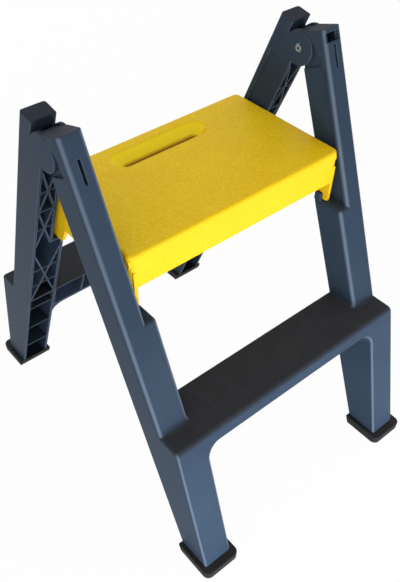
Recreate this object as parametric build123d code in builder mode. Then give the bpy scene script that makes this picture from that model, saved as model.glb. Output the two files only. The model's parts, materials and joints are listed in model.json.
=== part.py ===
"""Folding two-step stool: two moulded frames hinged into an A, and a lift-up platform between their rails.

Millimetres and degrees. X runs across the stool, the front is towards -Y, Z is up and the floor is Z = 0.
"""

import os
from math import atan2, cos, degrees, hypot, radians, sin, tan

from build123d import *

os.makedirs("parts", exist_ok=True)

# Overall layout
platform_height = 450.0
hinge_rise = 100.0
shelf_drop = 78.0
tread_height = 231.0
rail_lean = 23.0
half_width = 207.0
fold_gap = 3.0
rail_depth = 45.0
wall = 4.0

# Rails, shelf and heads
upper_rail_width = 32.0
leg_width = 47.5
front_rail_round = 7.5
rear_rail_round = 3.5
shelf_round = 6.0
rail_pocket = 2.5
rail_lip = 7.5
cap_rise = 33.0
cap_thickness = 5.0
front_cap_tilt = 17.0
rear_cap_tilt = 10.5
front_cap_length = 36.0
rear_cap_length = 22.0
front_cap_drop = 12.0
rear_cap_drop = 16.0
ledge_drop = 26.0

# Ears that locate the platform legs on the shelves
ear_width = 4.0
ear_height = 10.0
ear_length = 11.0
ear_round = 3.0

# Lower tread and legs
tread_lip = 19.0
tread_nose_round = 9.0
tread_overhang = 33.0
tread_back_drop = 55.0
leg_lean = 16.0
arch_radius = 21.0
front_edge_round = 4.5

# Stiffening ribs inside the mouldings
rib = 2.5
rib_pitch = 39.0
leg_rib_pitch = 66.0
upper_brace_bay = 78.0
lower_brace_bay = 120.0
tread_rib_pitch = 53.0
rib_bite = 0.5

# Hinge at the top of the A
pin_radius = 3.2
pin_bore_radius = 1.8
pin_bore_depth = 12.0
pin_head_radius = 4.6
pin_head_thickness = 1.4
pin_tail = 2.4
washer_radius = 5.8
washer_thickness = 0.8
counterbore_depth = 1.5
bush_wall = 1.5
boss_wall = 4.5
cheek_radius = 22.5
cheek_gap = 0.5
tongue_radius = 20.0
head_gap = 1.5
head_recess_radius = 42.0
head_recess_low = 20.0
head_recess_back = 10.0
slot_width = 4.0
slot_length = 27.0
left_slot_top = -10.0
right_slot_top = -3.0
window_width = 21.0
window_height = 11.0
window_bottom = 1.0

# Platform
platform_end_gap = 2.5
platform_nose = 3.5
platform_tail = 13.5
skirt = 47.5
platform_wall = 3.5
platform_corner = 10.0
platform_round = 5.0
platform_rib_depth = 22.0
platform_rib_columns = 7
platform_rib_rows = 4

# Hand-hold
grip_length = 156.0
grip_width = 38.0
grip_back_margin = 17.0
grip_depth = 26.0
grip_slope_depth = 12.0
grip_end_slope = 12.0
grip_back_slope = 20.0
grip_front_slope = 1.5
grip_corner = 17.0
grip_slot_corner = 7.0
grip_edge_round = 2.0

# Platform legs
leg_plate = 5.0
leg_plate_inset = 3.5
front_leg_tip = 17.0
front_leg_spread = 30.0
rear_leg_tip = 30.0
rear_leg_spread = 14.0
rear_leg_inset = 11.0
leg_tip_round = 6.0
seat_gap = 0.3

# Platform pivot
pivot_drop = 13.0
pivot_radius = 3.0
pivot_head_radius = 6.0
pivot_head_thickness = 2.0
pivot_boss_radius = 9.0
pivot_boss_depth = 3.5
pivot_spacer_radius = 5.0
pivot_nut_radius = 7.0
pivot_nut_thickness = 1.2
pivot_tail = 2.0

# Rubber feet
foot_base = 4.0
foot_height = 14.0
foot_side_overlap = 7.0
foot_front_overlap = 8.5
foot_back_skin = 1.2
foot_corner = 10.0
foot_edge = 1.5

# Fits
running_clearance = 0.05
fixed_clearance = 0.02
foot_clearance = 0.1

# Places worked out from the sizes above
lean = radians(rail_lean)
hinge_height = platform_height + hinge_rise
shelf_height = platform_height - shelf_drop
rail_back = fold_gap / 2
rail_front = rail_back + rail_depth
upper_inner = half_width - upper_rail_width
leg_inner = half_width - leg_width
tongue_inner = upper_inner + wall + cheek_gap
tongue_outer = half_width - wall - cheek_gap
cap_height = hinge_height + cap_rise
platform_end = upper_inner - platform_end_gap
hollow_inner = upper_inner + rail_pocket + wall
open_reach = 2 * rail_depth
bush_radius = pin_radius + running_clearance + bush_wall
tread_bottom = tread_height - tread_lip
tread_back_bottom = tread_height - tread_back_drop
rail_foot = tread_height - front_edge_round


def rail_y(z, offset):
    """Y at height z of the line that runs parallel to the front rails, offset in front of the hinge axis."""
    return -offset / cos(lean) - (hinge_height - z) * tan(lean)


nose_y = rail_y(tread_height, rail_front) - tread_overhang


def leg_y(z, inset=0.0):
    """Y at height z of the leg's front face, moved in by inset."""
    return nose_y - (tread_height - z) * tan(radians(leg_lean)) + inset / cos(radians(leg_lean))


def rail_point(s, offset):
    """The (y, z) place at s along the rail from the hinge axis, on an offset line."""
    return (s * sin(lean) - offset * cos(lean), hinge_height + s * cos(lean) + offset * sin(lean))


def rail_offset(y, z):
    """Offset in front of the hinge axis, and place along the rail, of a (y, z) point."""
    rise = z - hinge_height
    return (rise * sin(lean) - y * cos(lean), rise * cos(lean) + y * sin(lean))


def cap_nose(cap_length, cap_tilt):
    """The (y, z) place of the back end of a sloping rail cap."""
    y = rail_y(cap_height, rail_front) + cap_length
    return (y, cap_height - cap_length * tan(radians(cap_tilt)))


# The pivot lies where the folded platform comes flush with the front of the rails
pivot_z = platform_height - pivot_drop
pivot_y = rail_y(pivot_z, rail_front - pivot_drop)
pivot = (pivot_y, pivot_z)
hinge = (0, hinge_height)

# In the rail plane x is X, y runs up the rail from the hinge axis, and z is the offset to the front
rail_plane = Plane(origin=(0, 0, hinge_height), x_dir=(1, 0, 0), z_dir=(0, -cos(lean), sin(lean)))
rail_axis = Axis((0, 0, hinge_height), (0, sin(lean), cos(lean)))
front_axis = Axis((0, 0, hinge_height), (0, -cos(lean), sin(lean)))
ledge_plane = Plane(
    origin=(0, *rail_point(-ledge_drop, 0)),
    x_dir=(1, 0, 0),
    z_dir=(0, sin(lean), cos(lean)),
)


def along_rail(z, offset):
    """Place along the rail, measured up from the hinge axis, of the point at height z on an offset line."""
    return (z - hinge_height) / cos(lean) - offset * tan(lean)


shelf_s = along_rail(shelf_height, rail_front)
tread_s = along_rail(tread_height, rail_back)
head_s = -ledge_drop - 2 * wall


def side_prism(points, x_from, x_to):
    """Solid between two X places with the side outline given as (y, z) points."""
    with BuildPart(mode=Mode.PRIVATE) as prism:
        with BuildSketch(Plane.YZ.offset(x_from)):
            with BuildLine():
                Polyline(*points, close=True)
            make_face()
        extrude(amount=x_to - x_from)
    return prism.part


def disc(place, radius, x_from, x_to, bore=0.0):
    """Cylinder along X round a (y, z) place, between two X places, with an optional bore."""
    with BuildPart(mode=Mode.PRIVATE) as cylinder:
        with BuildSketch(Plane.YZ.offset(x_from)):
            with Locations(place):
                Circle(radius)
                if bore:
                    Circle(bore, mode=Mode.SUBTRACT)
        extrude(amount=x_to - x_from)
    return cylinder.part


def both_sides(solid):
    """The solid on the right and its mirror image on the left."""
    return [solid, mirror(solid, about=Plane.YZ, mode=Mode.PRIVATE)]


def rail_outline(low):
    """Side outline of the straight rail from height low up to the ledge under its head."""
    return [
        (rail_y(low, rail_front), low),
        rail_point(-ledge_drop, rail_front),
        rail_point(-ledge_drop, rail_back),
        (rail_y(low, rail_back), low),
    ]


def head_outline(cap_length, cap_tilt, cap_drop):
    """Side outline of a rail head from the ledge up to its cap, whose back end drops parallel to the rail."""
    nose_y, nose_z = cap_nose(cap_length, cap_tilt)
    return [
        rail_point(-ledge_drop, rail_front),
        (rail_y(cap_height, rail_front), cap_height),
        (nose_y, nose_z),
        (nose_y - cap_drop * sin(lean), nose_z - cap_drop * cos(lean)),
        rail_point(0, rail_back),
        rail_point(-ledge_drop, rail_back),
    ]


def rounded_rail(points, x_from, x_to, edge_round):
    """Rail prism with its two long front edges rounded."""
    with BuildPart(mode=Mode.PRIVATE) as rail:
        add(side_prism(points, x_from, x_to))
        front = rail.edges().filter_by(rail_axis).group_by(front_axis)[-1]
        fillet(front, radius=edge_round)
    return rail.part


def wide_rail(edge_round):
    """Wider rail between the tread and the shelf, with the rim of the shelf rounded."""
    wide = [
        (rail_y(rail_foot, rail_front), rail_foot),
        (rail_y(shelf_height, rail_front), shelf_height),
        (rail_y(shelf_height, rail_back), shelf_height),
        (rail_y(rail_foot, rail_back), rail_foot),
    ]
    with BuildPart(mode=Mode.PRIVATE) as rail:
        add(rounded_rail(wide, leg_inner, half_width, edge_round))
        top = rail.faces().sort_by(Axis.Z)[-1]
        rim = top.edges().filter_by(Axis.X).sort_by(Axis.Y)[0]
        fillet(rim, radius=min(shelf_round, edge_round - rib_bite))
    return rail.part


def leg_frame():
    """Both legs and the tread as one solid arch, its front outline rounded."""
    leg_bottom = foot_base
    leg_points = [
        (leg_y(leg_bottom), leg_bottom),
        (nose_y, tread_height),
        (rail_y(tread_height, rail_back), tread_height),
        (rail_y(leg_bottom, rail_back), leg_bottom),
    ]
    tread_points = [
        (leg_y(tread_bottom), tread_bottom),
        (nose_y, tread_height),
        (rail_y(tread_height, rail_back), tread_height),
        (rail_y(tread_back_bottom, rail_back), tread_back_bottom),
    ]
    with BuildPart(mode=Mode.PRIVATE) as arch:
        add(side_prism(leg_points, leg_inner, half_width))
        add(side_prism(leg_points, -half_width, -leg_inner))
        add(side_prism(tread_points, -leg_inner, leg_inner))
        under = (tread_points[3][0] - tread_points[0][0], tread_points[3][1] - tread_points[0][1])
        corners = arch.edges().filter_by(Axis((0, 0, 0), (0, *under)))
        fillet(corners.filter_by_position(Axis.X, -half_width, half_width), radius=arch_radius)
        top = arch.faces().sort_by(Axis.Z)[-1]
        fillet(top.edges().filter_by(Axis.X).sort_by(Axis.Y)[0], radius=tread_nose_round)
        front_normal = Axis((0, 0, 0), (0, -cos(radians(leg_lean)), sin(radians(leg_lean))))
        front = arch.faces().filter_by(front_normal).sort_by(front_normal)[-1]
        level = front.edges().filter_by(Axis.X)
        outline = front.edges() - level + level.sort_by(Axis.Z)[-2:-1]
        fillet(outline, radius=front_edge_round)
    return arch.part


def cross_rib(s, x_from, x_to, depth_from, depth_to):
    """Flat rib across a rail at the place s."""
    with BuildPart(mode=Mode.PRIVATE) as plate:
        with BuildSketch(rail_plane.offset(depth_from)):
            with Locations(((x_from + x_to) / 2, s)):
                Rectangle(x_to - x_from, rib)
        extrude(amount=depth_to - depth_from)
    return plate.part


def cross_brace(s_from, s_to, x_from, x_to, depth_from, depth_to):
    """Two thin ribs crossed corner to corner in one bay of a rail."""
    across = x_to - x_from
    along = s_to - s_from
    with BuildPart(mode=Mode.PRIVATE) as brace:
        with BuildSketch(rail_plane.offset(depth_from)):
            with Locations(((x_from + x_to) / 2, (s_from + s_to) / 2)):
                for side in (-1, 1):
                    Rectangle(hypot(across, along), rib, rotation=side * degrees(atan2(along, across)))
        extrude(amount=depth_to - depth_from)
    return brace.part


def rail_lattice(s_from, s_to, x_from, x_to, brace_bay):
    """Cross ribs and crossed braces that fill the open back of one rail."""
    depth_to = rail_front - wall + rib_bite
    bays = max(1, round((s_to - s_from) / brace_bay))
    bay = (s_to - s_from) / bays
    with BuildPart(mode=Mode.PRIVATE) as lattice:
        for number in range(bays):
            start = s_from + number * bay
            add(cross_brace(start, start + bay, x_from, x_to, rail_back, depth_to))
        ribs = max(1, round((s_to - s_from) / rib_pitch))
        for number in range(1, ribs):
            s = s_from + number * (s_to - s_from) / ribs
            add(cross_rib(s, x_from - rib_bite, x_to + rib_bite, rail_back, depth_to))
    return lattice.part


def leg_ribs():
    """Level ribs inside one hollow leg."""
    count = int((tread_height - wall - rib - foot_base) / leg_rib_pitch)
    with BuildPart(mode=Mode.PRIVATE) as ribs:
        for number in range(1, count + 1):
            z = foot_base + number * leg_rib_pitch
            points = [
                (leg_y(z, wall - rib_bite), z),
                (leg_y(z + rib, wall - rib_bite), z + rib),
                (rail_y(z + rib, rail_back), z + rib),
                (rail_y(z, rail_back), z),
            ]
            add(side_prism(points, leg_inner + wall - rib_bite, half_width - wall + rib_bite))
    return ribs.part


def tread_hollow(x_from, x_to):
    """Space inside the tread between two X places, open at the back."""
    ceiling = tread_height - wall
    run = rail_y(tread_back_bottom, rail_back) - leg_y(tread_bottom)
    slope = atan2(tread_bottom - tread_back_bottom, run)
    lift = wall / cos(slope)
    back_y = rail_y(tread_back_bottom, rail_back) + open_reach
    points = [
        (leg_y(tread_bottom + lift, wall), tread_bottom + lift),
        (leg_y(ceiling, wall), ceiling),
        (back_y, ceiling),
        (back_y, tread_bottom + lift - (back_y - leg_y(tread_bottom + lift, wall)) * tan(slope)),
    ]
    return side_prism(points, x_from, x_to)


def tread_rib(x):
    """Upright rib inside the tread, flush with its open back."""
    with BuildPart(mode=Mode.PRIVATE) as plate:
        add(tread_hollow(x - rib / 2, x + rib / 2))
        split(bisect_by=rail_plane.offset(rail_back), keep=Keep.TOP)
    return plate.part


def leg_hollow():
    """Space inside one leg, open at the back."""
    floor = foot_base + wall
    ceiling = tread_height - wall
    points = [
        (leg_y(floor, wall), floor),
        (leg_y(ceiling, wall), ceiling),
        (rail_y(ceiling, -open_reach), ceiling),
        (rail_y(floor, -open_reach), floor),
    ]
    return side_prism(points, leg_inner + wall, half_width - wall)


def mid_hollow():
    """Space inside the wide part of one rail between the tread and the shelf, open at the back."""
    ceiling = shelf_height - wall
    points = [
        (rail_y(tread_height, rail_front - wall), tread_height),
        (rail_y(ceiling, rail_front - wall), ceiling),
        (rail_y(ceiling, -open_reach), ceiling),
        (rail_y(tread_height, -open_reach), tread_height),
    ]
    return side_prism(points, leg_inner + wall, half_width - wall)


def rail_block(s_from, s_to, x_from, x_to, depth_from, depth_to):
    """Block aligned with the rail."""
    with BuildPart(mode=Mode.PRIVATE) as block:
        with BuildSketch(rail_plane.offset(depth_from)):
            with Locations(((x_from + x_to) / 2, (s_from + s_to) / 2)):
                Rectangle(x_to - x_from, s_to - s_from)
        extrude(amount=depth_to - depth_from)
    return block.part


def shelf_ear():
    """Upright ear on the inner back corner of a shelf."""
    back = rail_y(shelf_height, rail_back)
    with BuildPart(mode=Mode.PRIVATE) as ear:
        with BuildSketch(Plane.YZ.offset(leg_inner)):
            with Locations((back - ear_length / 2, shelf_height - wall / 2)):
                Rectangle(ear_length, ear_height * 2 + wall)
        extrude(amount=ear_width)
        top_edges = ear.edges().filter_by(Axis.X).group_by(Axis.Z)[-1]
        fillet(top_edges, radius=ear_round)
        split(bisect_by=Plane.XY.offset(shelf_height - wall / 2), keep=Keep.TOP)
    return ear.part


def rail_pocket_space():
    """Shallow pocket in the inner face of a rail, from the shelf up to the head."""
    pocket_x = upper_inner + rail_pocket
    lip = rail_front - rail_lip
    pocket = [
        (rail_y(shelf_height, lip), shelf_height),
        rail_point(head_s, lip),
        rail_point(head_s, -open_reach),
        (rail_y(shelf_height, -open_reach), shelf_height),
    ]
    return side_prism(pocket, upper_inner - wall, pocket_x)


def upper_hollow():
    """Space inside the narrow part of one rail, open at the back."""
    return rail_block(shelf_s - wall, head_s, hollow_inner, half_width - wall, -open_reach, rail_front - wall)


def frame_body(edge_round):
    """Both rails up to the ledges under their heads, the legs and the tread, hollow and ribbed."""
    lattice_low = along_rail(shelf_height, rail_back)
    under_shelf = along_rail(shelf_height - wall, rail_front)
    outer_wall = half_width - wall
    rail = rounded_rail(rail_outline(rail_foot), upper_inner, half_width, edge_round)
    hollows = [leg_hollow(), mid_hollow(), upper_hollow(), rail_pocket_space()]
    stiffeners = [
        rail_lattice(lattice_low, head_s - rib, hollow_inner, outer_wall, upper_brace_bay),
        rail_lattice(tread_s, under_shelf, leg_inner + wall, outer_wall, lower_brace_bay),
        leg_ribs(),
        shelf_ear(),
    ]
    with BuildPart(mode=Mode.PRIVATE) as body:
        add(leg_frame())
        for solid in both_sides(rail) + both_sides(wide_rail(edge_round)):
            add(solid)
        for hollow in hollows:
            for space in both_sides(hollow):
                add(space, mode=Mode.SUBTRACT)
        add(tread_hollow(-leg_inner, leg_inner), mode=Mode.SUBTRACT)
        for stiffener in stiffeners:
            for solid in both_sides(stiffener):
                add(solid)
        count = int(leg_inner / tread_rib_pitch)
        for number in range(-count, count + 1):
            add(tread_rib(number * tread_rib_pitch))
    return body.part


def head_hollow(x_from, x_to, depth_from, cap_tilt):
    """Space inside a rail head below its cap, from an offset up to its front wall."""
    cap_plane = Plane(
        origin=(0, rail_y(cap_height, rail_front), cap_height - cap_thickness),
        x_dir=(1, 0, 0),
        z_dir=(0, sin(radians(cap_tilt)), cos(radians(cap_tilt))),
    )
    with BuildPart(mode=Mode.PRIVATE) as hollow:
        add(rail_block(head_s, open_reach, x_from, x_to, depth_from, rail_front - wall))
        split(bisect_by=cap_plane, keep=Keep.BOTTOM)
    return hollow.part


def head_recess(x_from, x_to):
    """Round recess in the side of a front rail head, with a straight ledge across its foot."""
    middle = rail_point(-head_recess_low, -head_recess_back)
    with BuildPart(mode=Mode.PRIVATE) as recess:
        add(disc(middle, head_recess_radius, x_from, x_to))
        add(disc(hinge, cheek_radius + 2 * cheek_gap, x_from, x_to))
        split(bisect_by=ledge_plane, keep=Keep.TOP)
    return recess.part


def front_slot(side, slot_top):
    """Narrow slot through the front wall of a front rail head, side 1 for the right and -1 for the left."""
    middle = side * (upper_inner + half_width) / 2
    slot_from = middle - slot_width / 2
    slot_to = middle + slot_width / 2
    slot_bottom = slot_top - slot_length
    return rail_block(slot_bottom, slot_top, slot_from, slot_to, rail_front - wall, rail_front + wall)


# Front frame: heads are tongues, recessed on both sides for the rear frame's cheeks
boss_radius = bush_radius + boss_wall
front_head = head_outline(front_cap_length, front_cap_tilt, front_cap_drop)
recess_round = rail_front - rail_lip
with BuildPart() as front_frame:
    add(frame_body(front_rail_round))
    for head in both_sides(rounded_rail(front_head, upper_inner, half_width, front_rail_round)):
        add(head)
    for tongue in both_sides(disc(hinge, tongue_radius, tongue_inner, tongue_outer)):
        add(tongue)
    front_hollow = head_hollow(tongue_inner + wall, tongue_outer - wall, -open_reach, front_cap_tilt)
    for hollow in both_sides(front_hollow):
        add(hollow, mode=Mode.SUBTRACT)
    for x_from, x_to in ((upper_inner - wall, tongue_inner), (tongue_outer, half_width + wall)):
        for recess in both_sides(head_recess(x_from, x_to)):
            add(recess, mode=Mode.SUBTRACT)
    pocket_end = disc(rail_point(head_s, 0), recess_round, upper_inner - wall, upper_inner + rail_pocket)
    for recess in both_sides(pocket_end):
        add(recess, mode=Mode.SUBTRACT)
    for boss in both_sides(disc(hinge, boss_radius, tongue_inner, tongue_outer)):
        add(boss)
    for bore in both_sides(disc(hinge, bush_radius + fixed_clearance, tongue_inner, tongue_outer)):
        add(bore, mode=Mode.SUBTRACT)
    for side, slot_top in ((1, right_slot_top), (-1, left_slot_top)):
        add(front_slot(side, slot_top), mode=Mode.SUBTRACT)
    window_from = tongue_inner - rib_bite
    add(
        rail_block(
            window_bottom,
            window_bottom + window_height,
            window_from,
            window_from + window_width,
            rail_front - wall,
            rail_front + wall,
        ),
        mode=Mode.SUBTRACT,
    )
    for bore in both_sides(disc(pivot, pivot_radius + fixed_clearance, upper_inner, hollow_inner)):
        add(bore, mode=Mode.SUBTRACT)
front_frame.part.label = "front_frame"
export_step(front_frame.part, "parts/front_frame.step")

# Rear frame: the same moulding turned to the back, with clevis heads
washer_room = washer_radius + foot_clearance
rear_head = head_outline(rear_cap_length, rear_cap_tilt, rear_cap_drop)
cheeks = ((upper_inner, upper_inner + wall), (half_width - wall, half_width))
nose_offset, nose_s = rail_offset(*cap_nose(rear_cap_length, rear_cap_tilt))
with BuildPart() as rear_in_front:
    add(frame_body(rear_rail_round))
    for head in both_sides(rounded_rail(rear_head, upper_inner, half_width, rear_rail_round)):
        add(head)
    clevis_from, clevis_to = cheeks[0][1], cheeks[1][0]
    nose_bottom = nose_s - rear_cap_drop
    spaces = [
        head_hollow(clevis_from, clevis_to, nose_offset + wall, rear_cap_tilt),
        rail_block(head_s, nose_bottom, clevis_from, clevis_to, -open_reach, rail_front - wall),
        disc(hinge, tongue_radius + head_gap, clevis_from, clevis_to),
    ]
    for space in spaces:
        for hollow in both_sides(space):
            add(hollow, mode=Mode.SUBTRACT)
    for x_from, x_to in cheeks:
        for cheek in both_sides(disc(hinge, cheek_radius, x_from, x_to)):
            add(cheek)
    for recess in both_sides(disc(hinge, washer_room, upper_inner, upper_inner + counterbore_depth)):
        add(recess, mode=Mode.SUBTRACT)
    pin_hole = pin_radius + fixed_clearance
    for bore in both_sides(disc(hinge, pin_hole, upper_inner, upper_inner + wall)):
        add(bore, mode=Mode.SUBTRACT)
    for bore in both_sides(disc(hinge, pin_hole, half_width - wall, half_width - wall + pin_tail)):
        add(bore, mode=Mode.SUBTRACT)
with BuildPart() as rear_frame:
    mirror(rear_in_front.part, about=Plane.XZ)
rear_frame.part.label = "rear_frame"
export_step(rear_frame.part, "parts/rear_frame.step")

# Hinge pins, washers and bushes, on the right and then mirrored to the left
head_from = upper_inner + counterbore_depth - washer_thickness
with BuildPart() as hinge_pin:
    add(disc(hinge, pin_radius, head_from, half_width - wall + pin_tail - running_clearance))
    add(disc(hinge, pin_head_radius, head_from - pin_head_thickness, head_from))
    pin_end = head_from - pin_head_thickness
    add(disc(hinge, pin_bore_radius, pin_end, head_from + pin_bore_depth), mode=Mode.SUBTRACT)
with BuildPart() as hinge_washer:
    add(disc(hinge, washer_radius, head_from, upper_inner + counterbore_depth, bore=pin_hole))
with BuildPart() as hinge_bush:
    add(disc(hinge, bush_radius, tongue_inner, tongue_outer, bore=pin_radius + running_clearance))

# Pivot pins, spacers and push nuts of the platform
pivot_head_from = platform_end - platform_wall - pivot_boss_depth - seat_gap - pivot_head_thickness
spacer_from = platform_end + seat_gap
with BuildPart() as pivot_pin:
    add(disc(pivot, pivot_radius, pivot_head_from, hollow_inner + pivot_nut_thickness + pivot_tail))
    add(disc(pivot, pivot_head_radius, pivot_head_from, pivot_head_from + pivot_head_thickness))
with BuildPart() as pivot_spacer:
    pivot_hole = pivot_radius + fixed_clearance
    add(disc(pivot, pivot_spacer_radius, spacer_from, upper_inner + rail_pocket, bore=pivot_hole))
with BuildPart() as pivot_nut:
    add(disc(pivot, pivot_nut_radius, hollow_inner, hollow_inner + pivot_nut_thickness, bore=pivot_hole))

small_parts = {
    "hinge_pin": hinge_pin,
    "hinge_washer": hinge_washer,
    "hinge_bush": hinge_bush,
    "pivot_pin": pivot_pin,
    "pivot_spacer": pivot_spacer,
    "pivot_nut": pivot_nut,
}
for name, right_piece in small_parts.items():
    for side, solid in zip(("right", "left"), both_sides(right_piece.part)):
        solid.label = f"{side}_{name}"
        export_step(solid, f"parts/{side}_{name}.step")

# Rubber feet: boots round the leg ends, with a wider sole and a thin skin over the open back of the leg
foot_front = leg_y(0) - foot_front_overlap
foot_back = rail_y(foot_height, 0) + foot_corner
with BuildPart() as front_right_foot:
    with BuildSketch(Plane.XY):
        with Locations(((leg_inner + half_width) / 2, (foot_front + foot_back) / 2)):
            RectangleRounded(leg_width + 2 * foot_side_overlap, foot_back - foot_front, foot_corner)
    extrude(amount=foot_height)
    fillet(front_right_foot.edges().group_by(Axis.Z)[-1], radius=foot_edge)
    chamfer(front_right_foot.edges().group_by(Axis.Z)[0], length=foot_edge / 2)
    split(bisect_by=rail_plane.offset(rail_back - foot_back_skin), keep=Keep.TOP)
    socket_top = foot_height + wall
    socket = [
        (leg_y(foot_base, -foot_clearance), foot_base),
        (leg_y(socket_top, -foot_clearance), socket_top),
        (rail_y(socket_top, rail_back - foot_clearance), socket_top),
        (rail_y(foot_base, rail_back - foot_clearance), foot_base),
    ]
    add(side_prism(socket, leg_inner - foot_clearance, half_width + foot_clearance), mode=Mode.SUBTRACT)
front_feet = both_sides(front_right_foot.part)
rear_feet = [mirror(foot, about=Plane.XZ) for foot in front_feet]
for row, feet in (("front", front_feet), ("rear", rear_feet)):
    for side, foot in zip(("right", "left"), feet):
        foot.label = f"{row}_{side}_foot"
        export_step(foot, f"parts/{row}_{side}_foot.step")

# Platform: skirted tray with ribs, hand-hold, corner legs and pivot bosses
platform_front = platform_nose - rail_y(platform_height, rail_front)
platform_back = platform_tail - rail_y(platform_height, rail_front)
platform_depth = platform_front + platform_back
tray_y = (platform_back - platform_front) / 2
skirt_bottom = platform_height - skirt
grip_y = platform_back - grip_back_margin - grip_width / 2
grip_slot_length = grip_length - 2 * grip_end_slope
grip_slot_width = grip_width - grip_back_slope - grip_front_slope
grip_slot_y = grip_y + (grip_front_slope - grip_back_slope) / 2
plate_outer = platform_end - leg_plate_inset
leg_bottom_z = shelf_height + seat_gap


def leg_plate_outline(outer_y, tip, spread):
    """Side outline of a platform leg: upright edge at outer_y, tip long at its foot, wider by spread above."""
    return [
        (outer_y, leg_bottom_z),
        (outer_y, skirt_bottom + skirt / 2),
        (outer_y + tip + spread, skirt_bottom + skirt / 2),
        (outer_y + tip + spread, skirt_bottom),
        (outer_y + tip, leg_bottom_z),
    ]


def rear_leg():
    """Rear leg, its inner edge leaning with the rear rail and its tip rounded."""
    outline = leg_plate_outline(platform_back - rear_leg_inset, -rear_leg_tip, -rear_leg_spread)
    with BuildPart(mode=Mode.PRIVATE) as leg:
        add(side_prism(outline, plate_outer - leg_plate, plate_outer))
        tips = leg.edges().filter_by(Axis.X).group_by(Axis.Z)[0]
        fillet(tips, radius=leg_tip_round)
    return leg.part


def front_leg():
    """Front leg, its tip cut to the arc that it swings on over the shelf."""
    outline = leg_plate_outline(-platform_front, front_leg_tip, front_leg_spread)
    plate_inner = plate_outer - leg_plate
    with BuildPart(mode=Mode.PRIVATE) as leg:
        add(side_prism(outline, plate_inner, plate_outer))
        add(disc(pivot, pivot_z - leg_bottom_z, plate_inner, plate_outer), mode=Mode.INTERSECT)
    return leg.part


def tray_block(inset, low, high, top_round):
    """Rounded block of the platform's outline moved in by inset, its top edges rounded."""
    length = 2 * (platform_end - inset)
    depth = platform_depth - 2 * inset
    with BuildPart(mode=Mode.PRIVATE) as block:
        with BuildSketch(Plane.XY.offset(low)):
            with Locations((0, tray_y)):
                RectangleRounded(length, depth, platform_corner - inset)
        extrude(amount=high - low)
        fillet(block.edges().group_by(Axis.Z)[-1], radius=top_round)
    return block.part


with BuildPart() as platform:
    add(tray_block(0, skirt_bottom, platform_height, platform_round))
    tray_space = tray_block(
        platform_wall,
        skirt_bottom - platform_wall,
        platform_height - platform_wall,
        platform_round - platform_wall,
    )
    add(tray_space, mode=Mode.SUBTRACT)
    with BuildSketch(Plane.XY.offset(platform_height - platform_wall)):
        for column in range(1, platform_rib_columns):
            x = -platform_end + column * 2 * platform_end / platform_rib_columns
            with Locations((x, tray_y)):
                Rectangle(rib, platform_depth - platform_wall)
        for row in range(1, platform_rib_rows):
            y = -platform_front + row * platform_depth / platform_rib_rows
            with Locations((0, y)):
                Rectangle(2 * platform_end - platform_wall, rib)
    extrude(amount=-platform_rib_depth)
    with BuildSketch(Plane.XY.offset(platform_height - platform_wall)):
        with Locations((0, grip_y)):
            RectangleRounded(grip_length + 2 * platform_wall, grip_width + 2 * platform_wall, grip_corner)
    extrude(amount=platform_wall - grip_depth)
    with BuildSketch(Plane.XY.offset(platform_height)):
        with Locations((0, grip_y)):
            RectangleRounded(grip_length, grip_width, grip_corner)
    with BuildSketch(Plane.XY.offset(platform_height - grip_slope_depth)):
        with Locations((0, grip_slot_y)):
            RectangleRounded(grip_slot_length, grip_slot_width, grip_slot_corner)
    loft(mode=Mode.SUBTRACT)
    with BuildSketch(Plane.XY.offset(platform_height - grip_slope_depth)):
        with Locations((0, grip_slot_y)):
            RectangleRounded(grip_slot_length, grip_slot_width, grip_slot_corner)
    extrude(amount=grip_slope_depth - grip_depth, mode=Mode.SUBTRACT)
    rims = platform.edges().group_by(Axis.Z)[-1]
    grip_rim = rims.filter_by_position(Axis.Y, grip_y - grip_width, platform_back - grip_back_margin / 2)
    fillet(grip_rim, radius=grip_edge_round)
    for leg in both_sides(front_leg()) + both_sides(rear_leg()):
        add(leg)
    boss_from = platform_end - platform_wall - pivot_boss_depth
    for boss in both_sides(disc(pivot, pivot_boss_radius, boss_from, platform_end - rib_bite)):
        add(boss)
    for bore in both_sides(disc(pivot, pivot_radius + running_clearance, boss_from, platform_end)):
        add(bore, mode=Mode.SUBTRACT)
platform.part.label = "platform"
export_step(platform.part, "parts/platform.step")
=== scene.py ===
"""Looks of the folding step stool: finishes, smooth mouldings, root coves, floor, light and camera."""

import json
import math

import bmesh
import bpy
import numpy as np
from mathutils import Matrix, Vector


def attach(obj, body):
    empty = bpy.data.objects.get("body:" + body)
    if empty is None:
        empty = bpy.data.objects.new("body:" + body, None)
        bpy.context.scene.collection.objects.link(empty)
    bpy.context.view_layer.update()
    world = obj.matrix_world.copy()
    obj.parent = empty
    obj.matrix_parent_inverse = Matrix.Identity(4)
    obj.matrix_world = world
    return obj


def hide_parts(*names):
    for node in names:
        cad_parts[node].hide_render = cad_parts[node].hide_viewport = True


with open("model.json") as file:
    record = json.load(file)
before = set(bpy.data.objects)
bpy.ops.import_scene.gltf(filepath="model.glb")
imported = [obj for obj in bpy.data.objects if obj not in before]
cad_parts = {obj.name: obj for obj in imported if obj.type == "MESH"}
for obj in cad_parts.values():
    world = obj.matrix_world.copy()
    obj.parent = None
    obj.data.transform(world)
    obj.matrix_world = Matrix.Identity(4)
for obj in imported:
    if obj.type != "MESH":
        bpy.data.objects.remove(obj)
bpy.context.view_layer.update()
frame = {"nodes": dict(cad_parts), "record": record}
nodes = frame["nodes"]
slot_of = {part["node"]: part["material_slot"] for part in frame["record"]["subparts"]}
body_of = {node: body for body, row in frame["record"]["behaviour"]["bodies"].items() for node in row}

# Photograph's frame, in pixels
FRAME_WIDTH = 400
FRAME_HEIGHT = 582

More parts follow.
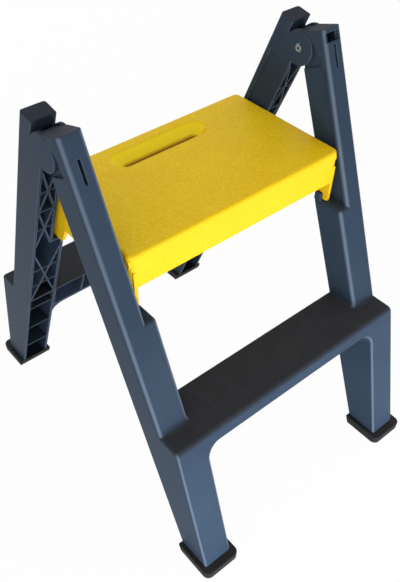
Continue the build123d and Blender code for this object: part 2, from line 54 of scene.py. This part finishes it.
# Camera, worked out from the stool's own edges, in metres, radians and pixels
CAMERA_PLACE = (-0.482033, -0.570132, 0.932065)
CAMERA_YAW = 0.675976
CAMERA_PITCH = -0.852640
CAMERA_ROLL = -0.010347
FOCAL_PIXELS = 663.637
CENTRE_PIXEL = (180.088, 355.800)
SENSOR_MM = 36.0

# Rail feet on the treads, in metres: the same sizes as the mouldings
TREAD_TOP = 0.231
RAIL_LEAN = math.radians(23.0)
RAIL_INNER = 0.1595
RAIL_OUTER = 0.207
FOOT_FRONT = 0.18593
FOOT_BACK = 0.13704
FRONT_RAIL_ROUND = 0.0075
REAR_RAIL_ROUND = 0.0035

# Coves round the rail feet, in metres
COVE_RADIUS = 0.0055
COVE_SINK = 0.0004
COVE_BACK_GAP = 0.001
COVE_OUTER_GAP = 0.0045
COVE_FADE = 0.012
COVE_LINE_STEPS = 14
COVE_ARC_STEPS = 9

# Smooth shading of the mouldings
JOIN_DISTANCE = 1e-6
CRISP_ANGLE = math.radians(24.0)
SMOOTH_SLOTS = ("frame_plastic", "platform_plastic", "foot_rubber")

# Where a finish, a painted shade or a painted highlight begins and where it is full, in metres along the
# stool's own axes
TREAD_FROM_BELOW = (0.2245, 0.2305)
TREAD_FROM_ABOVE = (0.2355, 0.2315)
CAP_FROM_BELOW = (0.525, 0.535)
REAR_HALF = (0.02, 0.04)
SLOT_SHADE_FROM_FRONT = (0.0660, 0.0666)
SLOT_SHADE_FROM_BACK = (0.0740, 0.0695)
SLOT_SHADE_FROM_END = (0.064, 0.056)
SLOT_SHADE_FROM_ABOVE = (0.4465, 0.4440)
RECESS_FROM_FRONT = (0.064, 0.066)
RECESS_FROM_BACK = (0.108, 0.105)
RECESS_FROM_END = (0.081, 0.079)
RECESS_FROM_ABOVE = (0.4495, 0.4475)

# Where a finish, a painted shade or a painted highlight begins and where it is full, by how far a face looks
# along an axis
TREAD_UPWARD = (0.42, 0.6)
CAP_UPWARD = (0.8, 0.94)
DUST_UPWARD = (0.55, 0.98)
EDGE_OFF_FRONT = (0.25, 0.6)
EDGE_OFF_SIDE = (0.96, 0.75)
EDGE_FORWARD = (-0.1, -0.5)
EDGE_BACKWARD = (0.1, 0.5)
STEP_UPWARD = (0.2, 0.9)
GLINT_UPWARD = (0.7, 0.98)
RECESS_UPWARD = (0.2, 0.4)

# Where a noise pattern begins and where it is full
TONE_SPAN = (0.3, 0.7)
EDGE_TURN = (0.98, 0.72)
STREAK_SPAN = (0.56, 0.7)
WORN_SPAN = (0.45, 0.65)
DUST_SPAN = (0.45, 0.75)
GLINT_SPAN = (0.2, 0.04)
EDGE_SAMPLES = 6

# Floor, surround and lamps
FLOOR_REACH = 8.0
FLOOR_GREY = (0.82, 0.82, 0.82, 1.0)
FLOOR_WHITE_SHARE = 0.97
WHITE = (1.0, 1.0, 1.0, 1.0)
WARM_SURROUND = (0.72, 0.655, 0.57, 1.0)
KEY_TONE = (0.9, 0.97, 1.0)
STRIP_TONE = (0.92, 0.97, 1.0)
FILL_TONE = (0.95, 0.98, 1.0)


def srgb(red, green, blue):
    """Linear colour of a screen colour given in 0 to 255."""
    screen = np.array([red, green, blue]) / 255
    linear = np.where(screen <= 0.04045, screen / 12.92, ((screen + 0.055) / 1.055) ** 2.4)
    return (*linear.tolist(), 1.0)


def add_object(name, data):
    """Object made from a mesh, lamp or camera and linked to the scene."""
    thing = bpy.data.objects.new(name, data)
    bpy.context.scene.collection.objects.link(thing)
    return thing


def photo_camera():
    """Camera at the photograph's viewing place, with the frame shifted to the photograph's centre."""
    forward = Vector((
        math.sin(CAMERA_YAW) * math.cos(CAMERA_PITCH),
        math.cos(CAMERA_YAW) * math.cos(CAMERA_PITCH),
        math.sin(CAMERA_PITCH),
    ))
    level = Vector((math.cos(CAMERA_YAW), -math.sin(CAMERA_YAW), 0))
    upright = level.cross(forward)
    right = level * math.cos(CAMERA_ROLL) + upright * math.sin(CAMERA_ROLL)
    up = upright * math.cos(CAMERA_ROLL) - level * math.sin(CAMERA_ROLL)
    lens = bpy.data.cameras.new("photo_camera")
    lens.sensor_width = SENSOR_MM
    lens.lens = FOCAL_PIXELS * SENSOR_MM / FRAME_HEIGHT
    lens.shift_x = (FRAME_WIDTH / 2 - CENTRE_PIXEL[0]) / FRAME_HEIGHT
    lens.shift_y = (CENTRE_PIXEL[1] - FRAME_HEIGHT / 2) / FRAME_HEIGHT
    camera = add_object("photo_camera", lens)
    turned = Matrix((right, up, -forward)).transposed().to_4x4()
    camera.matrix_world = Matrix.Translation(CAMERA_PLACE) @ turned
    bpy.context.scene.camera = camera


def put(tree, kind, inputs=(), **settings):
    """Node of a kind with its settings, its inputs joined to sockets or set to values."""
    node = tree.nodes.new(kind)
    for key, value in settings.items():
        setattr(node, key, value)
    for key, value in dict(inputs).items():
        if isinstance(value, bpy.types.NodeSocket):
            tree.links.new(value, node.inputs[key])
        else:
            node.inputs[key].default_value = value
    return node


def combine(tree, operation, first, second):
    """Two values put together by a math operation, each a socket or a number."""
    return put(tree, "ShaderNodeMath", {0: first, 1: second}, operation=operation).outputs[0]


def product(tree, first, *others):
    """Product of several values, each a socket or a number."""
    for other in others:
        first = combine(tree, "MULTIPLY", first, other)
    return first


def size_of(tree, value):
    """Value without its sign."""
    return put(tree, "ShaderNodeMath", {0: value}, operation="ABSOLUTE").outputs[0]


def ramp(tree, value, low, high, to_low=0.0, to_high=1.0):
    """Value carried from the span low to high onto another span, held at its ends."""
    spans = {"Value": value, "From Min": low, "From Max": high, "To Min": to_low, "To Max": to_high}
    return put(tree, "ShaderNodeMapRange", spans).outputs["Result"]


def tint(tree, share, base, over):
    """Colour between base and over by share, each a socket or a plain value."""
    mix = put(tree, "ShaderNodeMix", {0: share, 6: base, 7: over}, data_type="RGBA")
    return mix.outputs[2]


def layered(tree, colour, *layers):
    """Colour under several layers, each given by a mask, its share where the mask is full, and its colour."""
    for mask, share, over in layers:
        colour = tint(tree, product(tree, mask, share), colour, over)
    return colour


def own_place(tree):
    """Place on the object, in its own axes."""
    return put(tree, "ShaderNodeTexCoord").outputs["Object"]


def parts_of(tree, vector):
    """X, Y and Z of a vector."""
    return put(tree, "ShaderNodeSeparateXYZ", {0: vector}).outputs


def surface_normal(tree, kind="Normal"):
    """Normal of the surface, smooth or true."""
    return put(tree, "ShaderNodeNewGeometry").outputs[kind]


def own_direction(tree, normal):
    """Parts of a normal along the object's own axes, so that a finish turns with its body."""
    own = put(tree, "ShaderNodeVectorTransform", {0: normal}, vector_type="NORMAL",
              convert_from="WORLD", convert_to="OBJECT").outputs[0]
    return parts_of(tree, own)


def noise(tree, place, scale, detail, roughness=0.5):
    """Cloudy noise at a place."""
    inputs = {"Vector": place, "Scale": scale, "Detail": detail, "Roughness": roughness}
    return put(tree, "ShaderNodeTexNoise", inputs).outputs["Fac"]


def skin_group(name, inputs, outputs):
    """Empty shader group with named inputs and outputs, and the sockets at its two ends."""
    group = bpy.data.node_groups.new(name, "ShaderNodeTree")
    for label, value in inputs.items():
        socket = group.interface.new_socket(label, in_out="INPUT", socket_type="NodeSocketFloat")
        socket.default_value = value
    for label, kind in outputs.items():
        group.interface.new_socket(label, in_out="OUTPUT", socket_type=kind)
    return group, group.nodes.new("NodeGroupInput").outputs, group.nodes.new("NodeGroupOutput").inputs


def moulded_grain():
    """Group for a moulded skin: softened edges, spark grain in the normal, cloudy tone and an edge mask."""
    inputs = {"Grain Scale": 900.0, "Grain Depth": 0.00012, "Edge Radius": 0.001, "Cloud Scale": 7.0}
    outputs = {"Normal": "NodeSocketVector", "Soft Normal": "NodeSocketVector", "Grain": "NodeSocketFloat",
               "Cloud": "NodeSocketFloat", "Edge": "NodeSocketFloat"}
    group, entry, leave = skin_group("moulded_grain", inputs, outputs)
    place = own_place(group)
    grain = noise(group, place, entry["Grain Scale"], detail=2.0, roughness=0.6)
    cloud = noise(group, place, entry["Cloud Scale"], detail=4.0, roughness=0.55)
    bevel = put(group, "ShaderNodeBevel", {"Radius": entry["Edge Radius"]}, samples=EDGE_SAMPLES)
    soft = bevel.outputs["Normal"]
    bump = put(group, "ShaderNodeBump", {"Strength": 1.0, "Distance": entry["Grain Depth"],
                                         "Height": grain, "Normal": soft})
    turn = put(group, "ShaderNodeVectorMath", {0: soft, 1: surface_normal(group)}, operation="DOT_PRODUCT")
    group.links.new(bump.outputs["Normal"], leave["Normal"])
    group.links.new(soft, leave["Soft Normal"])
    group.links.new(ramp(group, grain, *TONE_SPAN), leave["Grain"])
    group.links.new(ramp(group, cloud, *TONE_SPAN), leave["Cloud"])
    group.links.new(ramp(group, turn.outputs["Value"], *EDGE_TURN), leave["Edge"])
    return group


def handling_scuffs():
    """Group for fine scuffs: long thin streaks of noise, kept only inside larger worn patches."""
    inputs = {"Streak Scale": 55.0, "Amount": 0.5}
    group, entry, leave = skin_group("handling_scuffs", inputs, {"Scuff": "NodeSocketFloat"})
    place = own_place(group)
    drawn = put(group, "ShaderNodeMapping", {"Vector": place, "Rotation": (0.5, 0.2, 0.4),
                                             "Scale": (1.0, 0.12, 1.6)}).outputs["Vector"]
    streak = noise(group, drawn, entry["Streak Scale"], detail=6.0, roughness=0.7)
    worn = noise(group, place, 11.0, detail=2.0)
    kept = product(group, ramp(group, streak, *STREAK_SPAN), ramp(group, worn, *WORN_SPAN), entry["Amount"])
    group.links.new(kept, leave["Scuff"])
    return group


def settled_dust():
    """Group for dust: patches of noise on faces that look up."""
    group, entry, leave = skin_group("settled_dust", {"Amount": 0.3}, {"Dust": "NodeSocketFloat"})
    upward = ramp(group, own_direction(group, surface_normal(group))["Z"], *DUST_UPWARD)
    patch = noise(group, own_place(group), 26.0, detail=8.0, roughness=0.72)
    lying = product(group, upward, ramp(group, patch, *DUST_SPAN), entry["Amount"])
    group.links.new(lying, leave["Dust"])
    return group


GRAIN = moulded_grain()
SCUFFS = handling_scuffs()
DUST = settled_dust()


def effect(tree, group, **values):
    """One of the shared effects placed in a material with its own values."""
    node = put(tree, "ShaderNodeGroup", node_tree=group)
    for label, value in values.items():
        node.inputs[label.replace("_", " ")].default_value = value
    return node.outputs


def node_material(name):
    """New material with an empty tree, its shader already joined to the output."""
    material = bpy.data.materials.new(name)
    material.use_nodes = True
    tree = material.node_tree
    tree.nodes.clear()
    shader = tree.nodes.new("ShaderNodeBsdfPrincipled")
    output = tree.nodes.new("ShaderNodeOutputMaterial")
    tree.links.new(shader.outputs["BSDF"], output.inputs["Surface"])
    return material, tree, shader


def dress(tree, shader, colour, rough, grain, values=()):
    """Shader given its colour, roughness and grained normal, and some plain values."""
    tree.links.new(colour, shader.inputs["Base Color"])
    tree.links.new(rough, shader.inputs["Roughness"])
    tree.links.new(grain["Normal"], shader.inputs["Normal"])
    for label, value in dict(values).items():
        shader.inputs[label].default_value = value


def slate_moulding(name, edge_radius):
    """Slate polypropylene: satin grain, painted highlights along rounded edges, tread tops darker on a
    rougher skin with painted shade, and head caps darker as painted shade.
    """
    material, tree, shader = node_material(name)
    grain = effect(tree, GRAIN, Grain_Scale=1100.0, Grain_Depth=0.00008, Edge_Radius=edge_radius,
                   Cloud_Scale=6.0)
    scuff = effect(tree, SCUFFS, Streak_Scale=60.0, Amount=0.5)["Scuff"]
    dust = effect(tree, DUST, Amount=0.12)["Dust"]
    place = parts_of(tree, own_place(tree))
    upward = own_direction(tree, surface_normal(tree, "True Normal"))["Z"]
    # Tread tops: a rougher skin, darkened partly as painted shade; head caps: darkened as painted shade only
    tread = product(
        tree,
        ramp(tree, place["Z"], *TREAD_FROM_BELOW),
        ramp(tree, place["Z"], *TREAD_FROM_ABOVE),
        ramp(tree, upward, *TREAD_UPWARD),
    )
    cap = product(tree, ramp(tree, place["Z"], *CAP_FROM_BELOW), ramp(tree, upward, *CAP_UPWARD), 0.7)
    matt_and_shaded_tops = combine(tree, "MAXIMUM", tread, cap)
    turned = own_direction(tree, grain["Soft Normal"])
    # Painted highlight: pale stripes along rounded upright edges, facing forward on the front frame and
    # backward on the rear frame, standing for the lamps' gloss
    sideways = size_of(tree, turned["X"])
    behind = product(tree, turned["Y"], ramp(tree, place["Y"], *REAR_HALF))
    forward = ramp(tree, turned["Y"], *EDGE_FORWARD)
    backward = ramp(tree, behind, *EDGE_BACKWARD)
    painted_edge_highlight = product(
        tree,
        ramp(tree, sideways, *EDGE_OFF_FRONT),
        ramp(tree, sideways, *EDGE_OFF_SIDE),
        combine(tree, "MAXIMUM", forward, backward),
    )
    colour = layered(
        tree,
        tint(tree, grain["Cloud"], srgb(45, 59, 77), srgb(53, 68, 88)),
        (grain["Grain"], 0.12, srgb(66, 82, 104)),
        # Painted shade on tread tops and head caps
        (matt_and_shaded_tops, 0.9, srgb(53, 56, 65)),
        # Painted highlight: softened edges lightened as a sheen
        (grain["Edge"], 0.28, srgb(98, 114, 138)),
        # Painted highlight along rounded edges
        (painted_edge_highlight, 0.6, srgb(116, 131, 154)),
        (scuff, 0.3, srgb(78, 92, 112)),
        (dust, 1.0, srgb(96, 95, 93)),
    )
    rough = ramp(tree, grain["Cloud"], 0.0, 1.0, 0.36, 0.46)
    rough = combine(tree, "ADD", rough, product(tree, scuff, 0.15))
    rough = combine(tree, "ADD", rough, product(tree, matt_and_shaded_tops, 0.2))
    dress(tree, shader, colour, rough, grain, {"Specular IOR Level": 0.03})
    return material


def yellow_moulding():
    """Yellow polypropylene: pebbled top with faint painted glints, sides in a darker, warmer tone as painted
    shade, and a hand-hold with plain walls lightened as a painted highlight.

    A dark line along the front of the hand-hold is painted shade, standing for the shaded opening of its
    slot.
    """
    material, tree, shader = node_material("yellow_moulding")
    grain = effect(tree, GRAIN, Grain_Scale=330.0, Grain_Depth=0.0005, Edge_Radius=0.0012, Cloud_Scale=9.0)
    scuff = effect(tree, SCUFFS, Streak_Scale=45.0, Amount=0.4)["Scuff"]
    place = parts_of(tree, own_place(tree))
    across = size_of(tree, place["X"])
    upward = own_direction(tree, surface_normal(tree))["Z"]
    pebble = product(tree, grain["Grain"], ramp(tree, upward, *STEP_UPWARD, 0.12, 0.45))
    # Painted glints: pale specks on faces that look up, for the sparkle of the pebbled top
    painted_glint = product(tree, ramp(tree, grain["Grain"], *GLINT_SPAN), ramp(tree, upward, *GLINT_UPWARD))
    # Painted shade: faces that do not look up take a darker, warmer tone
    sides = ramp(tree, upward, *STEP_UPWARD, 1.0, 0.0)
    # Painted highlight: the hand-hold's back slope lighter and plain, free of pebbles and side tone
    recess = product(
        tree,
        ramp(tree, place["Z"], *RECESS_FROM_ABOVE),
        ramp(tree, upward, *RECESS_UPWARD),
        ramp(tree, across, *RECESS_FROM_END),
        ramp(tree, place["Y"], *RECESS_FROM_FRONT),
        ramp(tree, place["Y"], *RECESS_FROM_BACK),
    )
    # Painted shade: a brown band along the front of the hand-hold, where its slot lies in shadow
    painted_slot_shade = product(
        tree,
        ramp(tree, place["Y"], *SLOT_SHADE_FROM_FRONT),
        ramp(tree, place["Y"], *SLOT_SHADE_FROM_BACK),
        ramp(tree, across, *SLOT_SHADE_FROM_END),
        ramp(tree, place["Z"], *SLOT_SHADE_FROM_ABOVE),
    )
    colour = layered(
        tree,
        tint(tree, grain["Cloud"], srgb(249, 214, 24), srgb(255, 225, 32)),
        (pebble, 1.0, srgb(224, 180, 10)),
        # Painted glints on the top
        (painted_glint, 0.2, srgb(255, 240, 130)),
        # Painted shade on the sides
        (sides, 0.62, srgb(238, 190, 14)),
        (scuff, 0.25, srgb(240, 210, 64)),
        # Painted highlight on the hand-hold's back slope
        (recess, 1.0, srgb(255, 235, 38)),
        # Painted shade along the hand-hold's slot
        (painted_slot_shade, 0.8, srgb(140, 90, 16)),
    )
    rough = ramp(tree, grain["Cloud"], 0.0, 1.0, 0.42, 0.52)
    rough = combine(tree, "ADD", rough, product(tree, scuff, 0.15))
    dress(tree, shader, colour, rough, grain, {"Specular IOR Level": 0.15})
    return material


def black_rubber():
    """Black rubber: dull and rough, finely mottled, with pale scuffs and a painted sheen on its softened
    edges.
    """
    material, tree, shader = node_material("black_rubber")
    grain = effect(tree, GRAIN, Grain_Scale=800.0, Grain_Depth=0.0002, Edge_Radius=0.0014, Cloud_Scale=30.0)
    scuff = effect(tree, SCUFFS, Streak_Scale=90.0, Amount=0.6)["Scuff"]
    colour = layered(
        tree,
        tint(tree, grain["Cloud"], srgb(18, 18, 20), srgb(30, 30, 33)),
        # Painted highlight: softened edges lightened as a sheen
        (grain["Edge"], 0.25, srgb(52, 53, 56)),
        (scuff, 0.4, srgb(60, 60, 60)),
    )
    rough = ramp(tree, grain["Cloud"], 0.0, 1.0, 0.62, 0.8)
    dress(tree, shader, colour, rough, grain, {"Specular IOR Level": 0.25})
    return material


def zinc_steel():
    """Zinc-plated steel: cloudy grey, brushed by its scuffs."""
    material, tree, shader = node_material("zinc_steel")
    grain = effect(tree, GRAIN, Grain_Scale=1500.0, Grain_Depth=0.00004, Edge_Radius=0.0003,
                   Cloud_Scale=160.0)
    scuff = effect(tree, SCUFFS, Streak_Scale=300.0, Amount=0.8)["Scuff"]
    colour = layered(
        tree,
        tint(tree, grain["Cloud"], srgb(124, 127, 134), srgb(160, 164, 172)),
        (scuff, 0.5, srgb(186, 189, 196)),
    )
    rough = ramp(tree, grain["Cloud"], 0.0, 1.0, 0.38, 0.52)
    dress(tree, shader, colour, rough, grain, {"Metallic": 0.9})
    return material


def dark_bush():
    """Dark acetal of the hinge bushes: smooth and faintly cloudy."""
    material, tree, shader = node_material("dark_bush")
    grain = effect(tree, GRAIN, Grain_Scale=1400.0, Grain_Depth=0.00004, Edge_Radius=0.0004,
                   Cloud_Scale=90.0)
    colour = tint(tree, grain["Cloud"], srgb(34, 34, 36), srgb(48, 48, 51))
    rough = ramp(tree, grain["Cloud"], 0.0, 1.0, 0.36, 0.5)
    dress(tree, shader, colour, rough, grain)
    return material


FINISHES = {
    "frame_plastic": slate_moulding("slate_moulding", edge_radius=0.0022),
    "platform_plastic": yellow_moulding(),
    "foot_rubber": black_rubber(),
    "hinge_steel": zinc_steel(),
    "bush_plastic": dark_bush(),
}
# A softened edge would show a cove's thin sunk border as a line, so its slate has none
COVE_FINISH = slate_moulding("slate_cove", edge_radius=0.0)

for name, node in nodes.items():
    node.data.materials.clear()
    node.data.materials.append(FINISHES[slot_of[name]])


def shade(mesh, finish):
    """Mesh smooth over its rounded edges, crisp at its corners, and given its finish."""
    mesh.shade_smooth()
    mesh.set_sharp_from_angle(angle=CRISP_ANGLE)
    mesh.materials.append(finish)


def smooth_skin(name):
    """Stands for a node: its triangles joined, without the normals they came with, and shaded smooth."""
    net = bmesh.new()
    net.from_mesh(nodes[name].data)
    bmesh.ops.remove_doubles(net, verts=net.verts, dist=JOIN_DISTANCE)
    mesh = bpy.data.meshes.new(name + "_skin")
    net.to_mesh(mesh)
    net.free()
    mesh.attributes.remove(mesh.attributes["custom_normal"])
    shade(mesh, FINISHES[slot_of[name]])
    piece = add_object(name + "_skin", mesh)
    even = piece.modifiers.new("even_normals", "WEIGHTED_NORMAL")
    even.keep_sharp = True
    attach(piece, body_of[name])
    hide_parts(name)


for name in nodes:
    if slot_of[name] in SMOOTH_SLOTS:
        smooth_skin(name)


def rail_foot_line(edge_round):
    """Plan line round a rail's foot and its outward direction.

    The line runs forward along the inner side, round a quarter ellipse at the rounded edge, and out along
    the front. The ellipse is the rail's round edge cut level, so its depth is the radius over the cosine of
    the lean.
    """
    steps = COVE_LINE_STEPS
    deep = edge_round / math.cos(RAIL_LEAN)
    turn = np.linspace(0, math.pi / 2, steps)
    side_y = np.linspace(-FOOT_BACK - COVE_BACK_GAP, -FOOT_FRONT + deep, steps)
    front_x = np.linspace(RAIL_INNER + edge_round, RAIL_OUTER - COVE_OUTER_GAP, steps)
    x = np.concatenate([np.full(steps, RAIL_INNER), RAIL_INNER + edge_round * (1 - np.cos(turn)), front_x])
    y = np.concatenate([side_y, -FOOT_FRONT + deep * (1 - np.sin(turn)), np.full(steps, -FOOT_FRONT)])
    out_x = np.concatenate([np.full(steps, -1.0), -np.cos(turn), np.zeros(steps)])
    out_y = np.concatenate([np.zeros(steps), -np.sin(turn), np.full(steps, -1.0)])
    return np.stack([x, y], 1), np.stack([out_x, out_y], 1)


def root_cove(name, side, row, edge_round, body):
    """Hollow cove where a rail rises from its tread.

    A section of a quarter circle's hollow and a sunk corner is carried round the rail's foot. Its radius
    grows from nothing at the ends by a smooth step over the first and last stretch of the line. The whole is
    sheared back by the tangent of the lean, so the cove meets the leaning rail and the level tread without
    a crease.
    """
    arc = np.linspace(0, math.pi / 2, COVE_ARC_STEPS)
    line, outward = rail_foot_line(edge_round)
    run = np.concatenate([[0], np.cumsum(np.hypot(*np.diff(line, axis=0).T))])
    near_end = np.clip(np.minimum(run, run[-1] - run) / COVE_FADE, 0, 1)
    radius = COVE_RADIUS * near_end ** 2 * (3 - 2 * near_end)
    away = np.concatenate([1 - np.sin(arc), [0]])
    rise = np.concatenate([1 - np.cos(arc), [0]])
    sunk = np.concatenate([np.zeros(arc.size), [COVE_SINK]])
    reach = radius[:, None] * away - sunk
    height = radius[:, None] * rise - sunk
    x = side * (line[:, :1] + outward[:, :1] * reach)
    y = row * (line[:, 1:] + outward[:, 1:] * reach + height * math.tan(RAIL_LEAN))
    points = np.stack([x, y, TREAD_TOP + height], 2).reshape(-1, 3)
    across = arc.size + 1
    start = np.arange(line.shape[0] - 1)[:, None] * across
    here = np.arange(across)[None, :]
    beside = (here + 1) % across
    faces = np.stack([start + here, start + beside, start + beside + across, start + here + across], 2)
    mesh = bpy.data.meshes.new(name)
    mesh.from_pydata(points.tolist(), [], faces.reshape(-1, 4).tolist())
    net = bmesh.new()
    net.from_mesh(mesh)
    bmesh.ops.holes_fill(net, edges=net.edges, sides=0)
    bmesh.ops.remove_doubles(net, verts=net.verts, dist=JOIN_DISTANCE)
    bmesh.ops.recalc_face_normals(net, faces=net.faces)
    net.to_mesh(mesh)
    net.free()
    shade(mesh, COVE_FINISH)
    cove = add_object(name, mesh)
    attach(cove, body)


for row_name, row, edge_round in (("front", 1, FRONT_RAIL_ROUND), ("rear", -1, REAR_RAIL_ROUND)):
    for side_name, side in (("left", -1), ("right", 1)):
        root_cove(f"{row_name}_{side_name}_root_cove", side, row, edge_round, body_of[f"{row_name}_frame"])


def soft_box(name, place, target, wide, high, watts, tone):
    """Oblong area lamp aimed at a point."""
    lamp = bpy.data.lights.new(name, "AREA")
    lamp.shape = "RECTANGLE"
    lamp.size = wide
    lamp.size_y = high
    lamp.energy = watts
    lamp.color = tone
    holder = add_object(name, lamp)
    aim = Vector(target) - Vector(place)
    holder.matrix_world = Matrix.Translation(place) @ aim.to_track_quat("-Z", "Y").to_matrix().to_4x4()


def seen_share(tree):
    """One for rays that show the background: from the camera, off gloss or through glass."""
    path = put(tree, "ShaderNodeLightPath").outputs
    shown = combine(tree, "ADD", path["Is Camera Ray"], path["Is Glossy Ray"])
    return combine(tree, "MINIMUM", combine(tree, "ADD", shown, path["Is Transmission Ray"]), 1.0)


def white_floor():
    """Wide floor that shows as white, with the stool's soft shadow kept faintly on it."""
    mesh = bpy.data.meshes.new("white_floor")
    corners = np.array([[-1, -1, 0], [1, -1, 0], [1, 1, 0], [-1, 1, 0]]) * FLOOR_REACH
    mesh.from_pydata(corners.tolist(), [], [[0, 1, 2, 3]])
    floor = add_object("white_floor", mesh)
    material, tree, shader = node_material("floor_white")
    shader.inputs["Base Color"].default_value = FLOOR_GREY
    shader.inputs["Roughness"].default_value = 0.9
    shader.inputs["Specular IOR Level"].default_value = 0.1
    glow = put(tree, "ShaderNodeEmission", {"Strength": 1.0}).outputs["Emission"]
    share = product(tree, seen_share(tree), FLOOR_WHITE_SHARE)
    blend = put(tree, "ShaderNodeMixShader", {0: share, 1: shader.outputs["BSDF"], 2: glow})
    output = next(node for node in tree.nodes if node.type == "OUTPUT_MATERIAL")
    tree.links.new(blend.outputs["Shader"], output.inputs["Surface"])
    mesh.materials.append(material)


def white_surround():
    """Even warm surround that lights the stool from above and all round, and shows as white behind it."""
    world = bpy.data.worlds.new("white_surround")
    world.use_nodes = True
    tree = world.node_tree
    tree.nodes.clear()
    colour = tint(tree, seen_share(tree), WARM_SURROUND, WHITE)
    ground = put(tree, "ShaderNodeBackground", {"Color": colour})
    output = tree.nodes.new("ShaderNodeOutputWorld")
    tree.links.new(ground.outputs["Background"], output.inputs["Surface"])
    bpy.context.scene.world = world


photo_camera()
white_surround()
white_floor()
soft_box("front_key", place=(-0.3, -2.3, 0.6), target=(0, -0.1, 0.35),
         wide=1.2, high=1.0, watts=6.0, tone=KEY_TONE)
soft_box("back_fill", place=(0.3, 2.3, 0.9), target=(0, 0.1, 0.35),
         wide=1.2, high=1.0, watts=6.0, tone=FILL_TONE)
soft_box("low_front_strip", place=(0, -0.78, 0.11), target=(0, -0.28, 0.06),
         wide=1.2, high=0.18, watts=5.8, tone=STRIP_TONE)
soft_box("low_left_strip", place=(-0.78, -0.6, 0.1), target=(-0.19, 0.05, 0.1),
         wide=0.7, high=0.16, watts=1.9, tone=STRIP_TONE)

bpy.context.scene.view_settings.view_transform = "Standard"
